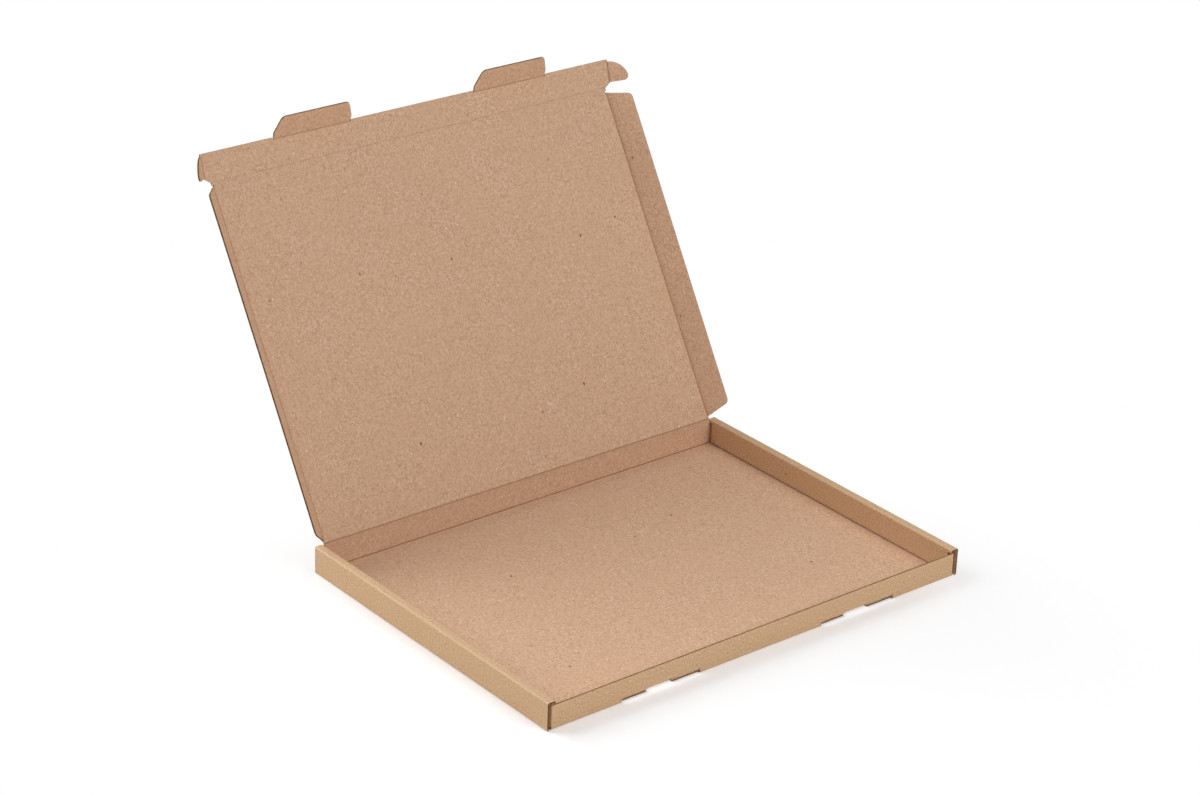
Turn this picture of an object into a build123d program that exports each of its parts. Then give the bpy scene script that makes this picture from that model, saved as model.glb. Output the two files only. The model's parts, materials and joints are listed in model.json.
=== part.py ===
"""A flat shipping box of corrugated board, standing open: a folded tray and a lid with its flaps.

Millimetres. X runs across the box, Y from front to rear, Z up.
The origin is the middle of the tray's underside.
"""
from build123d import *
from math import cos, radians, sin, tan
import os

# The box
box_width = 350.0
box_depth = 250.0
wall_height = 20.0
front_wall_height = 17.0
board = 1.4
fold_radius = 1.2

# Clearances between panels that pass or slide by each other
ear_gap = 0.25
front_gap = 0.3
side_gap = 0.6
tuck_gap = 0.1
inner_panel_end_gap = 2.0
crease_gap = 0.1
cut_overrun = 1.0

# The lid and its flaps
hinge_rise = 0.3
side_flap_width = 18.2
side_flap_start = 1.6
side_flap_end_gap = 3.5
side_flap_slant = 5.8
side_flap_radius = 4.0
front_flap_height = 20.2
front_flap_radius = 1.6
tab_crease_inset = 0.8
tab_root_width = 62.0
tab_flare = 0.7
tab_flare_height = 5.0
tab_top_width = 54.0
tab_height = 17.8
tab_radius = 4.0
tab_spacing = 168.0
tab_notch = 1.0
ear_length = 15.0
ear_start = 3.6
ear_root = 15.0
ear_radius = 15.0
ear_tip_radius = 3.5

# The slots that take the tabs, at the foot of the front wall
slot_gap = 0.4
slot_headroom = 0.3
slot_depth = 2.0
thumb_notch_width = 21.0
thumb_notch_rise = 0.5
thumb_notch_depth = 6.5

# End flaps of the front and back walls, tucked into the side walls
end_flap_length = 55.0
end_flap_slant = 6.0

# How far each panel is folded in, from flat
lid_opening_angle = 121.5
side_flap_angle = 47.9
front_flap_angle = 15.0
tab_angle = 35.0
left_ear_angle = 47.5
right_ear_angle = 36.0

# How far each crease can be folded in
side_flap_most_angle = 132.0
square_angle = 90.0

# Places that follow from the sizes above
half_width = box_width / 2
half_depth = box_depth / 2
ear_x = half_width - board - ear_gap
end_flap_x = ear_x - board - ear_gap
inner_panel_x = end_flap_x - 2 * board - tuck_gap
lid_half = inner_panel_x - side_gap
hinge_y = half_depth - board / 2
hinge_z = wall_height + hinge_rise
lid_depth = hinge_y + half_depth + front_gap + board
strip_underside = wall_height - board
tab_crease = front_flap_height - tab_crease_inset
closed_tab_z = hinge_z + board / 2 - tab_crease
slot_height = closed_tab_z + board + slot_headroom
slot_width = tab_root_width + 2 * (tab_flare + slot_gap)
tab_x = tab_spacing / 2
sides = (-1, 1)


def folded(panel, place, turn):
    """The outer face of a panel that is creased to another one at a place on it, and turned there."""
    return Plane(panel.location * Location((*place, 0), turn))


def crease_section(panel, place, heading):
    """Section across a crease: x runs from the crease into the panel, y from its outer to its inner face."""
    across, along = heading
    inward = panel.x_dir * across + panel.y_dir * along
    origin = panel.from_local_coords(Vector(*place, 0))
    return Plane(origin, x_dir=inward, z_dir=inward.cross(panel.z_dir))


def inner_relief(section, fold_angle):
    """What a crease that folds inwards takes off a panel's edge: a bevel that hinges on the outer face."""
    slope = tan(radians(fold_angle / 2))
    top = board + cut_overrun
    with BuildSketch(section) as relief:
        with BuildLine():
            Polyline(
                (-cut_overrun, -cut_overrun),
                (crease_gap, -cut_overrun),
                (crease_gap, 0),
                (crease_gap + top * slope, top),
                (-cut_overrun, top),
                close=True,
            )
        make_face()
    return relief.sketch


# Outer faces of the lid and its flaps, as they stand
lean = radians(lid_opening_angle - square_angle)
hinge_plane = Plane((0, hinge_y, hinge_z), x_dir=(1, 0, 0), z_dir=(0, -cos(lean), sin(lean)))
lid_face = hinge_plane.offset(-board / 2)
front_face = folded(lid_face, (0, lid_depth), (front_flap_angle, 0, 0))

# Tray: floor, walls and tucked end flaps, folded from one sheet
with BuildPart() as tray:
    with BuildSketch():
        Rectangle(box_width - 2 * board, box_depth - 2 * board)
    extrude(amount=board)

    # Double side walls: outer panel and top strip, then the inner panel that stands on the floor
    with BuildSketch(Plane.XZ.offset(half_depth)) as side_wall:
        with BuildLine():
            Polyline(
                (half_width - board, 0),
                (half_width, 0),
                (half_width, wall_height),
                (inner_panel_x, wall_height),
                (inner_panel_x, strip_underside),
                (half_width - board, strip_underside),
                close=True,
            )
        make_face()
        fillet(side_wall.vertices().group_by(Axis.Y)[-1], fold_radius)
        fillet(side_wall.vertices().group_by(Axis.Y)[0].sort_by(Axis.X)[-1], fold_radius)
        mirror(about=Plane.YZ)
    extrude(amount=-box_depth)
    inner_panel_length = box_depth - 2 * (board + inner_panel_end_gap)
    with BuildSketch(Plane.XY.offset(board)):
        for side in sides:
            with Locations((side * (inner_panel_x + board / 2), 0)):
                Rectangle(board, inner_panel_length)
    extrude(amount=strip_underside - board)

    # Front wall
    with BuildSketch(Plane.YZ) as front_section:
        with Locations((-half_depth, 0)):
            Rectangle(board, front_wall_height, align=(Align.MIN, Align.MIN))
        fillet(front_section.vertices().group_by(Axis.Y)[0].sort_by(Axis.X)[0], fold_radius)
    extrude(amount=end_flap_x, both=True)

    # Back wall, with the edge of the lid's crease bevelled on both faces
    with BuildSketch(Plane.YZ) as back_section:
        with BuildLine():
            Polyline(
                (half_depth - board, 0),
                (half_depth, 0),
                (half_depth, hinge_z - crease_gap - board / 2),
                (hinge_y, hinge_z - crease_gap),
                (half_depth - board, hinge_z - crease_gap - board / 2),
                close=True,
            )
        make_face()
        fillet(back_section.vertices().group_by(Axis.Y)[0].sort_by(Axis.X)[-1], fold_radius)
    extrude(amount=lid_half, both=True)
    with BuildSketch(Plane.YZ) as back_corner_section:
        with Locations((half_depth, 0)):
            Rectangle(board, strip_underside - tuck_gap, align=(Align.MAX, Align.MIN))
        fillet(back_corner_section.vertices().group_by(Axis.Y)[0].sort_by(Axis.X)[-1], fold_radius)
    extrude(amount=end_flap_x, both=True)

    # End flaps, tucked between the two panels of each side wall
    for side in sides:
        for end, flap_height in ((-1, front_wall_height), (1, strip_underside - tuck_gap)):
            with BuildSketch(Plane.YZ.offset(side * end_flap_x)):
                with BuildLine():
                    Polyline(
                        (end * half_depth, board),
                        (end * half_depth, flap_height),
                        (end * (half_depth - end_flap_length + end_flap_slant), flap_height),
                        (end * (half_depth - end_flap_length), board),
                        close=True,
                    )
                make_face()
            extrude(amount=-side * board)

    # Slots for the tabs: a long low one, and in its middle a thumb notch cut further back into the floor
    for width, height, depth in (
        (slot_width, slot_height, slot_depth),
        (thumb_notch_width, slot_height + thumb_notch_rise, thumb_notch_depth),
    ):
        with BuildSketch(Plane.XZ.offset(half_depth + cut_overrun)):
            with Locations((-tab_x, 0), (tab_x, 0)):
                Rectangle(width, height, align=(Align.CENTER, Align.MIN))
        extrude(amount=-(cut_overrun + depth), mode=Mode.SUBTRACT)
tray.part.label = "tray"

# Lid panel, bevelled along its hinge and along the creases of its three flaps
with BuildPart() as lid_panel:
    with BuildSketch(lid_face):
        Rectangle(2 * lid_half, lid_depth, align=(Align.CENTER, Align.MIN))
    extrude(amount=board)
    with BuildSketch(crease_section(lid_face, (0, 0), (0, 1))):
        for face_side in sides:
            with BuildLine():
                Polyline(
                    (crease_gap, board / 2),
                    (crease_gap + board / 2 + cut_overrun, board / 2 + face_side * (board / 2 + cut_overrun)),
                    (-cut_overrun, board / 2 + face_side * (board / 2 + cut_overrun)),
                    (-cut_overrun, board / 2),
                    close=True,
                )
            make_face()
    extrude(amount=box_width, both=True, mode=Mode.SUBTRACT)
    for side in sides:
        side_crease = crease_section(lid_face, (side * lid_half, lid_depth / 2), (-side, 0))
        side_relief = inner_relief(side_crease, side_flap_most_angle)
        extrude(side_relief, amount=lid_depth, both=True, mode=Mode.SUBTRACT)
    front_crease = crease_section(lid_face, (0, lid_depth), (0, -1))
    extrude(inner_relief(front_crease, square_angle), amount=box_width, both=True, mode=Mode.SUBTRACT)
lid_panel.part.label = "lid panel"


def side_flap(side):
    """Flap along one side of the lid, with slanted ends and rounded corners."""
    face = folded(lid_face, (side * lid_half, 0), (0, -side * side_flap_angle, 0))
    far_end = lid_depth - side_flap_end_gap
    with BuildPart() as flap:
        with BuildSketch(face) as outline:
            with BuildLine():
                Polyline(
                    (0, side_flap_start),
                    (side * side_flap_width, side_flap_start + side_flap_slant),
                    (side * side_flap_width, far_end - side_flap_slant),
                    (0, far_end),
                    close=True,
                )
            make_face()
            fillet(outline.vertices().group_by(Axis.X)[-(side > 0)], side_flap_radius)
        extrude(amount=board)
        section = crease_section(face, (0, lid_depth / 2), (side, 0))
        extrude(inner_relief(section, side_flap_most_angle), amount=lid_depth, both=True, mode=Mode.SUBTRACT)
    return flap


lid_left_flap = side_flap(-1)
lid_left_flap.part.label = "lid left flap"
lid_right_flap = side_flap(1)
lid_right_flap.part.label = "lid right flap"

# Front flap, wider than the lid beyond the corner notches, with its edge set in at the roots of the tabs
with BuildPart() as lid_front_flap:
    with BuildSketch(front_face) as outline:
        with BuildLine():
            Polyline(
                (-lid_half, 0),
                (lid_half, 0),
                (ear_x, ear_start),
                (ear_x, front_flap_height),
                (-ear_x, front_flap_height),
                (-ear_x, ear_start),
                close=True,
            )
        make_face()
        fillet(outline.vertices().group_by(Axis.Y)[-1], front_flap_radius)
        with Locations((-tab_x, front_flap_height), (tab_x, front_flap_height)):
            Rectangle(tab_root_width + 2 * tab_notch, 2 * tab_crease_inset, mode=Mode.SUBTRACT)
    extrude(amount=board)
    crease = crease_section(front_face, (0, 0), (0, 1))
    extrude(inner_relief(crease, square_angle), amount=box_width, both=True, mode=Mode.SUBTRACT)
    for side in sides:
        ear_crease = crease_section(front_face, (side * ear_x, ear_start + ear_root / 2), (-side, 0))
        extrude(inner_relief(ear_crease, square_angle), amount=ear_root / 2, both=True, mode=Mode.SUBTRACT)
        root = crease_section(front_face, (side * tab_x, tab_crease), (0, -1))
        root_half = tab_root_width / 2 + tab_notch
        extrude(inner_relief(root, square_angle), amount=root_half, both=True, mode=Mode.SUBTRACT)
lid_front_flap.part.label = "lid front flap"


def front_tab(side):
    """Tab on the edge of the front flap: a little wider above its root, with rounded corners."""
    face = folded(front_face, (side * tab_x, tab_crease), (tab_angle, 0, 0))
    with BuildPart() as tab:
        with BuildSketch(face) as outline:
            with BuildLine():
                Polyline(
                    (-tab_root_width / 2, 0),
                    (tab_root_width / 2, 0),
                    (tab_root_width / 2 + tab_flare, tab_flare_height),
                    (tab_top_width / 2, tab_height),
                    (-tab_top_width / 2, tab_height),
                    (-tab_root_width / 2 - tab_flare, tab_flare_height),
                    close=True,
                )
            make_face()
            fillet(outline.vertices().group_by(Axis.Y)[1:], tab_radius)
        extrude(amount=board)
        root = crease_section(face, (0, 0), (0, 1))
        extrude(inner_relief(root, square_angle), amount=tab_root_width, both=True, mode=Mode.SUBTRACT)
    return tab


front_tab_left = front_tab(-1)
front_tab_left.part.label = "front tab left"
front_tab_right = front_tab(1)
front_tab_right.part.label = "front tab right"


def front_ear(side, fold_angle):
    """Ear at one end of the front flap, with a round upper edge."""
    face = folded(front_face, (side * ear_x, 0), (0, -side * fold_angle, 0))
    ear_top = ear_start + ear_root
    ear_tip = (side * ear_length, ear_start)
    with BuildPart() as ear:
        with BuildSketch(face) as outline:
            with BuildLine():
                Polyline((0, ear_top), (0, ear_start), ear_tip)
                RadiusArc(ear_tip, (0, ear_top), -side * ear_radius)
            make_face()
            fillet(outline.vertices().group_by(Axis.X)[-(side > 0)], ear_tip_radius)
        extrude(amount=board)
        root = crease_section(face, (0, ear_start + ear_root / 2), (side, 0))
        extrude(inner_relief(root, square_angle), amount=ear_root, both=True, mode=Mode.SUBTRACT)
    return ear


lid_left_ear = front_ear(-1, left_ear_angle)
lid_left_ear.part.label = "lid left ear"
lid_right_ear = front_ear(1, right_ear_angle)
lid_right_ear.part.label = "lid right ear"

os.makedirs("parts", exist_ok=True)
export_step(tray.part, "parts/tray.step")
export_step(lid_panel.part, "parts/lid_panel.step")
export_step(lid_left_flap.part, "parts/lid_left_flap.step")
export_step(lid_right_flap.part, "parts/lid_right_flap.step")
export_step(lid_front_flap.part, "parts/lid_front_flap.step")
export_step(front_tab_left.part, "parts/front_tab_left.step")
export_step(front_tab_right.part, "parts/front_tab_right.step")
export_step(lid_left_ear.part, "parts/lid_left_ear.step")
export_step(lid_right_ear.part, "parts/lid_right_ear.step")
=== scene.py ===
# %% [markdown]
# # A flat shipping box, open
# The box is folded from one sheet of thin corrugated board, which is two brown kraft liners glued to
# a wavy paper between them. It lies open, and its lid leans back. The lesson builds it as a die
# cutter sees it: flat panels with cut edges, joined by pressed creases, with the waves of the middle
# paper showing on every cut edge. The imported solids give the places, and each piece rides on one of
# their bodies, so the box still folds.

# %% Load the frame
import json
import math

import bmesh
import bpy
from mathutils import Matrix, Vector
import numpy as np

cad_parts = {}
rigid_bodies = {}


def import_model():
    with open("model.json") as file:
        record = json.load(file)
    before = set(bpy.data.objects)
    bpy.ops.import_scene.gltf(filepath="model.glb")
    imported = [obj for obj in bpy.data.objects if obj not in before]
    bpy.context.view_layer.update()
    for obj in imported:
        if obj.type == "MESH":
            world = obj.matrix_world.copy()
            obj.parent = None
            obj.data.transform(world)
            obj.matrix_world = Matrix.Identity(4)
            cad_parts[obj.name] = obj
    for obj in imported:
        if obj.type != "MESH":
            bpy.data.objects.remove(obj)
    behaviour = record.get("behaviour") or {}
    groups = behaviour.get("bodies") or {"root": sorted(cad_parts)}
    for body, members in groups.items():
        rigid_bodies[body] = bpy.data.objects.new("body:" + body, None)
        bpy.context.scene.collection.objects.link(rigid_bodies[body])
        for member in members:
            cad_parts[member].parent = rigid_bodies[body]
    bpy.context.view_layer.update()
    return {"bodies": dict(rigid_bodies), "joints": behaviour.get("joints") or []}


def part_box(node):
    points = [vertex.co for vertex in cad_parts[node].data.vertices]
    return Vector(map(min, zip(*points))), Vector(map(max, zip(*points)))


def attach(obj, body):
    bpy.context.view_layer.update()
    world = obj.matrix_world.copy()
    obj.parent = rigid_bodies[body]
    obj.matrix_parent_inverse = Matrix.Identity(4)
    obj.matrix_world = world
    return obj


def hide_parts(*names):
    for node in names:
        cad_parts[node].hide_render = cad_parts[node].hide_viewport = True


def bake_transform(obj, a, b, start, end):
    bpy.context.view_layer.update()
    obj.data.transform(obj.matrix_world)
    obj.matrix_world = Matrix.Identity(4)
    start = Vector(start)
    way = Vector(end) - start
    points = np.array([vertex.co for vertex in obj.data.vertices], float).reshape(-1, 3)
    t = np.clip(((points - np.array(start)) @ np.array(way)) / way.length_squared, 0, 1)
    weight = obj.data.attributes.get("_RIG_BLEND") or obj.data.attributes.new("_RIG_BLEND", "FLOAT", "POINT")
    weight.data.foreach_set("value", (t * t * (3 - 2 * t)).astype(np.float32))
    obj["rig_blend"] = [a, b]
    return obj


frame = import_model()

MM = 0.001
scene = bpy.context.scene
scene.view_settings.view_transform = "Standard"

# %% [markdown]
# ## Reading the sizes
# A fold's hinge line tells where one panel ends and the next begins, so most places of the box can be
# read from the joints of the frame. What no joint tells, such as the height of a flap, is a named
# value in millimetres. The board's thickness is the one that nearly all others depend on.

# %% Sizes and places from the frame
joints = {joint["name"]: joint for joint in frame["joints"]}


def joint_place(name):
    return Vector(joints[name]["pos_m"]) / MM


def rest_fold(name):
    """The fold at rest in degrees, for a crease whose range starts at the flat sheet."""
    return -joints[name]["range_deg"][0]


RIGHT, BACK, UP = Vector((1, 0, 0)), Vector((0, 1, 0)), Vector((0, 0, 1))
board = 1.4
tray_low, tray_high = (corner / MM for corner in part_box("tray"))
box_half = (tray_high.x - tray_low.x) / 2
depth_half = (tray_high.y - tray_low.y) / 2
wall_height = 20.0
front_wall_height = 17.0
hinge = joint_place("lid_hinge")
lid_along = Vector(joints["left_flap_fold"]["axis"])
lid_corner = joint_place("right_flap_fold")
lid_half = lid_corner.x
front_crease = joint_place("front_flap_fold")
lid_depth = (front_crease - lid_corner).dot(lid_along)
front_along = Vector(joints["left_ear_fold"]["axis"])
ear_x = joint_place("right_ear_fold").x
tab_place = joint_place("right_tab_fold")
tab_crease = (tab_place - front_crease).dot(front_along)
lean = math.degrees(math.atan2(lid_along.y, lid_along.z))
print(f"box {2 * box_half:.1f} x {2 * depth_half:.1f} mm")
print(f"lid {lid_depth:.1f} mm deep, leaning {lean:.1f} deg")

# %% [markdown]
# ## Panels have their own axes
# Each panel of the sheet gets a matrix whose X runs across it, whose Y runs along it, and whose Z goes
# through the board from the outer liner to the inner one. A folded panel is its parent's matrix,
# moved to the crease and turned about it. Writing the outlines flat, as the die cuts them, is much
# simpler than placing points in space.


# %% Axes of the panels
def panel_frame(origin, across, along):
    through = across.cross(along)
    return Matrix.Translation(origin) @ Matrix((across, along, through)).transposed().to_4x4()


def folded(parent, place, out, degrees):
    """The axes of a panel that is folded inwards at a place of its parent."""
    axis, sense = ("Y", -1) if out == "across" else ("X", 1)
    return parent @ Matrix.Translation(place) @ Matrix.Rotation(sense * math.radians(degrees), 4, axis)


side_fold = 47.9
lid_axes = panel_frame(Vector((0, lid_corner.y, lid_corner.z)), RIGHT, lid_along)
side_place = Vector((lid_half, 0, 0))
side_axes = folded(lid_axes, side_place, "across", side_fold)
front_place = Vector((0, lid_depth, 0))
front_axes = folded(lid_axes, front_place, "along", rest_fold("front_flap_fold"))
tab_local = Vector((tab_place.x, tab_crease, 0))
tab_axes = folded(front_axes, tab_local, "along", rest_fold("right_tab_fold"))
ear_local = Vector((ear_x, 0, 0))
print("side flap axes", [round(value, 3) for value in side_axes.translation])

# %% [markdown]
# ## Kraft paper
# Kraft liner is unbleached paper, rolled smooth but not shiny. Close to, it is a mottle of fibre clumps
# that lie mostly one way, with a few pale and dark flecks and, now and then, a dark speck of bark. The
# flutes beneath it press through as very faint straight lines. A photo texture could show this, but
# nodes stay sharp at any distance. The pattern follows the flat sheet through an attribute called
# sheet, so it runs on across a crease. A second attribute darkens the line of a crease with painted
# shade, over the burnish of the pressed paper, and, below zero, lightens a fold with a painted
# highlight, over the wear of its stretched liner.

# %% Helpers for materials
MULTIPLY = {"operation": "MULTIPLY"}
MIX_COLOURS = {"data_type": "RGBA"}


def linear(hex_colour):
    """An sRGB hex colour as linear RGBA."""
    channels = [int(hex_colour[i : i + 2], 16) / 255 for i in (1, 3, 5)]
    return [c / 12.92 if c <= 0.04045 else ((c + 0.055) / 1.055) ** 2.4 for c in channels] + [1.0]


def add(tree, kind, settings=None, **inputs):
    """Adds a node, with its settings, and sets or links its inputs by name or, as in_0, by number."""
    node = tree.nodes.new(kind)
    for name, value in (settings or {}).items():
        setattr(node, name, value)
    for name, value in inputs.items():
        key = int(name[3:]) if name.startswith("in_") else name.replace("_", " ")
        if isinstance(value, bpy.types.NodeSocket):
            tree.links.new(value, node.inputs[key])
        else:
            node.inputs[key].default_value = value
    return node


def new_material(name):
    material = bpy.data.materials.new(name)
    material.use_nodes = True
    material.node_tree.nodes.clear()
    return material, material.node_tree


print("helpers ready")

# %% The mottle of the paper
# In millimetres, and coarser than life, because single fibres are too fine to show
grain_across, grain_along = 1.1, 1.6
fibre_size, cloud_size = 0.6, 34.0
# Noise values that become the darkest and the lightest tone
clump_limits, fibre_limits, cloud_limits = (0.32, 0.68), (0.3, 0.7), (0.35, 0.65)
fibre_share, cloud_share = 0.45, 0.4


def paper_mottle(tree, sheet, dark, base, light):
    """The mottle of fibre clumps, as a tone from 0 to 1 and as a colour."""
    grain = (1 / (grain_across * MM), 1 / (grain_along * MM), 1 / MM)
    stretched = add(tree, "ShaderNodeVectorMath", MULTIPLY, in_0=sheet, in_1=grain)
    clumps = add(
        tree, "ShaderNodeTexNoise", Vector=stretched.outputs[0], Scale=1.0, Detail=3.0, Roughness=0.65
    )
    fibres = add(tree, "ShaderNodeTexNoise", Vector=sheet, Scale=1 / (fibre_size * MM), Detail=2.0)
    clouds = add(tree, "ShaderNodeTexNoise", Vector=sheet, Scale=1 / (cloud_size * MM), Detail=2.0)
    tones = []
    for noise, (low, high) in ((clumps, clump_limits), (fibres, fibre_limits), (clouds, cloud_limits)):
        spread = add(tree, "ShaderNodeMapRange", in_0=noise.outputs[0], in_1=low, in_2=high)
        tones.append(spread.outputs[0])
    clump_tone, fibre_tone, cloud_tone = tones
    tone = add(tree, "ShaderNodeMix", in_0=fibre_share, in_2=clump_tone, in_3=fibre_tone).outputs[0]
    mottle = add(tree, "ShaderNodeMix", MIX_COLOURS, in_0=tone, in_6=linear(dark), in_7=linear(light))
    cloudy = add(tree, "ShaderNodeMath", MULTIPLY, in_0=cloud_tone, in_1=cloud_share)
    paper = add(
        tree, "ShaderNodeMix", MIX_COLOURS,
        in_0=cloudy.outputs[0], in_6=mottle.outputs[2], in_7=linear(base),
    )
    return tone, paper.outputs[2]


print("grain", grain_across, "x", grain_along, "mm")

# %% Flecks, and painted shade and highlights on creases and folds
fleck_length_share = 1.8
fleck_sizes = {
    "dark": {"spacing": 5.0, "radius": 0.36, "missing_share": 0.5},
    "pale": {"spacing": 10.0, "radius": 0.46, "missing_share": 0.6},
    "bark": {"spacing": 36.0, "radius": 0.8, "missing_share": 0.4},
}
bark_shade = "#4A2F1A"
# Painted shade along a crease, over the burnish of the pressed paper
crease_burnish_and_shade, crease_burnish_and_shade_share = "#7A5433", 0.55
# Painted highlight along a fold, over the wear of its stretched liner
fold_wear_and_highlight, fold_wear_and_highlight_share = "#F6E0C2", 0.42


def with_flecks(tree, sheet, colour, shade, spacing, radius, missing_share):
    """The colour with flecks of a shade, one to a cell: a share is missing and the rest vary in strength."""
    cell = (1 / (spacing * MM), 1 / (fleck_length_share * spacing * MM), 0)
    spread = add(tree, "ShaderNodeVectorMath", MULTIPLY, in_0=sheet, in_1=cell)
    cells = add(
        tree, "ShaderNodeTexVoronoi", {"voronoi_dimensions": "2D"}, Vector=spread.outputs[0], Scale=1.0
    )
    near_middle = add(
        tree, "ShaderNodeMapRange",
        in_0=cells.outputs["Distance"], in_1=radius / spacing, in_2=radius / spacing / 2,
    )
    chance = add(tree, "ShaderNodeSeparateXYZ", in_0=cells.outputs["Color"])
    chosen = add(tree, "ShaderNodeMapRange", in_0=chance.outputs[0], in_1=missing_share)
    strength = add(
        tree, "ShaderNodeMath", MULTIPLY, in_0=near_middle.outputs[0], in_1=chosen.outputs[0]
    )
    flecked = add(
        tree, "ShaderNodeMix", MIX_COLOURS, in_0=strength.outputs[0], in_6=colour, in_7=linear(shade)
    )
    return flecked.outputs[2]


def with_marks(tree, colour):
    """The colour with painted shade over a crease's burnish, and a painted highlight over a fold's wear."""
    wear_shade_and_highlight = add(tree, "ShaderNodeAttribute", {"attribute_name": "wear_shade_and_highlight"}).outputs["Fac"]
    for shade, share in ((crease_burnish_and_shade, crease_burnish_and_shade_share), (fold_wear_and_highlight, -fold_wear_and_highlight_share)):
        amount = add(tree, "ShaderNodeMath", {**MULTIPLY, "use_clamp": True}, in_0=wear_shade_and_highlight, in_1=share)
        marked = add(
            tree, "ShaderNodeMix", MIX_COLOURS, in_0=amount.outputs[0], in_6=colour, in_7=linear(shade)
        )
        colour = marked.outputs[2]
    return colour


print("flecks", sorted(fleck_sizes))

# %% The two liners
flute_pitch = 3.3
ridge_share = 0.15
paper_relief = 0.06
smoothest, roughest = 0.82, 0.96
cellulose_ior = 1.47


def kraft_liner(name, dark, base, light, fleck_dark, fleck_light, washboard):
    """Unbleached kraft paper: rough fibres, so a wide soft highlight and no gloss."""
    material, tree = new_material(name)
    sheet = add(tree, "ShaderNodeAttribute", {"attribute_name": "sheet"}).outputs["Vector"]
    tone, colour = paper_mottle(tree, sheet, dark, base, light)
    for kind, shade in (("dark", fleck_dark), ("pale", fleck_light), ("bark", bark_shade)):
        colour = with_flecks(tree, sheet, colour, shade, **fleck_sizes[kind])
    place = add(tree, "ShaderNodeSeparateXYZ", in_0=sheet)
    turns = add(
        tree, "ShaderNodeMath", MULTIPLY, in_0=place.outputs[1], in_1=2 * math.pi / (flute_pitch * MM)
    )
    wave = add(tree, "ShaderNodeMath", {"operation": "SINE"}, in_0=turns.outputs[0]).outputs[0]
    lines = add(tree, "ShaderNodeMapRange", in_0=wave, in_1=-1.0, in_4=washboard)
    lined = add(
        tree, "ShaderNodeMix", MIX_COLOURS, in_0=lines.outputs[0], in_6=colour, in_7=linear(dark)
    )
    ridge = add(tree, "ShaderNodeMath", MULTIPLY, in_0=wave, in_1=ridge_share)
    relief = add(tree, "ShaderNodeMath", {"operation": "ADD"}, in_0=tone, in_1=ridge.outputs[0])
    bump = add(
        tree, "ShaderNodeBump", Strength=0.35, Distance=paper_relief * MM, Height=relief.outputs[0]
    )
    rough = add(tree, "ShaderNodeMapRange", in_0=tone, in_3=smoothest, in_4=roughest)
    shader = add(
        tree, "ShaderNodeBsdfPrincipled",
        Base_Color=with_marks(tree, lined.outputs[2]), Roughness=rough.outputs[0], Normal=bump.outputs[0],
        IOR=cellulose_ior, Specular_IOR_Level=0.25,
    )
    add(tree, "ShaderNodeOutputMaterial", Surface=shader.outputs[0])
    return material


outer_liner = kraft_liner(
    "kraft_outer_liner", dark="#B08555", base="#D3AD86", light="#F1CFA8",
    fleck_dark="#855B38", fleck_light="#FBEBD2", washboard=0.08,
)
inner_liner = kraft_liner(
    "kraft_inner_liner", dark="#AF8159", base="#D5AC89", light="#F5D0AF",
    fleck_dark="#845B3C", fleck_light="#FBEDDD", washboard=0.05,
)
print("materials", outer_liner.name, inner_liner.name)

# %% [markdown]
# ## Raw edges and fluting
# Where the die has cut the board, the two liners show as thin raw lines, and the fluting between them
# is a rougher, darker paper. Both are plain recycled fibre with no finish, so they are matt.

# %% Cut edge and fluting paper
tuft_low, tuft_high = 0.3, 0.7
torn_relief = 0.08


def raw_paper(name, dark, light, tuft_size):
    """Torn and cut paper fibre: matt, and uneven in tone."""
    material, tree = new_material(name)
    place = add(tree, "ShaderNodeTexCoord").outputs["Object"]
    tufts = add(tree, "ShaderNodeTexNoise", Vector=place, Scale=1 / (tuft_size * MM), Detail=3.0)
    tone = add(tree, "ShaderNodeMapRange", in_0=tufts.outputs[0], in_1=tuft_low, in_2=tuft_high)
    colour = add(
        tree, "ShaderNodeMix", MIX_COLOURS, in_0=tone.outputs[0], in_6=linear(dark), in_7=linear(light)
    )
    bump = add(tree, "ShaderNodeBump", Strength=0.4, Distance=torn_relief * MM, Height=tufts.outputs[0])
    shader = add(
        tree, "ShaderNodeBsdfPrincipled",
        Base_Color=colour.outputs[2], Normal=bump.outputs[0],
        Roughness=0.95, IOR=cellulose_ior, Specular_IOR_Level=0.2,
    )
    add(tree, "ShaderNodeOutputMaterial", Surface=shader.outputs[0])
    return material


cut_edge = raw_paper("kraft_cut_edge", dark="#8E683F", light="#C29B70", tuft_size=1.6)
fluting_paper = raw_paper("fluting_paper", dark="#6B4B2D", light="#94704A", tuft_size=2.4)
board_materials = (outer_liner, inner_liner, cut_edge, fluting_paper)
OUTER, INNER, EDGE, GROOVE = range(len(board_materials))
print("materials", cut_edge.name, fluting_paper.name)

# %% [markdown]
# ## A cut panel of board
# A die squeezes the board as it cuts, so the liners come together a little at the edge. A panel is
# made as a stack of rings: the outline, moved inwards by different distances at different heights.
# The rings give the squeezed rim, the two thin liner edges, and the groove between them where the
# fluting shows. A side that goes on into a crease isn't cut, so its rings stay on the outline.
# Bevel and Solidify could not tell the two kinds of side apart.

# %% Rings of a cut edge
liner = 0.3
squeeze_width, squeeze_depth = 1.0, 0.1
liner_round = 0.06
groove_depth, groove_draft = 0.7, 0.02
fluting_inset = 0.25
edge_rings = [
    (squeeze_width, 0.0),
    (liner_round, squeeze_depth),
    (0.0, squeeze_depth + liner_round),
    (0.0, squeeze_depth + liner),
    (groove_depth, squeeze_depth + liner + groove_draft),
]
edge_rings += [(inset, board - level) for inset, level in reversed(edge_rings)]
ring_kinds = (OUTER, EDGE, EDGE, GROOVE, GROOVE, GROOVE, EDGE, EDGE, INNER)
straight = 1e-4
arc_steps = 5


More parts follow.
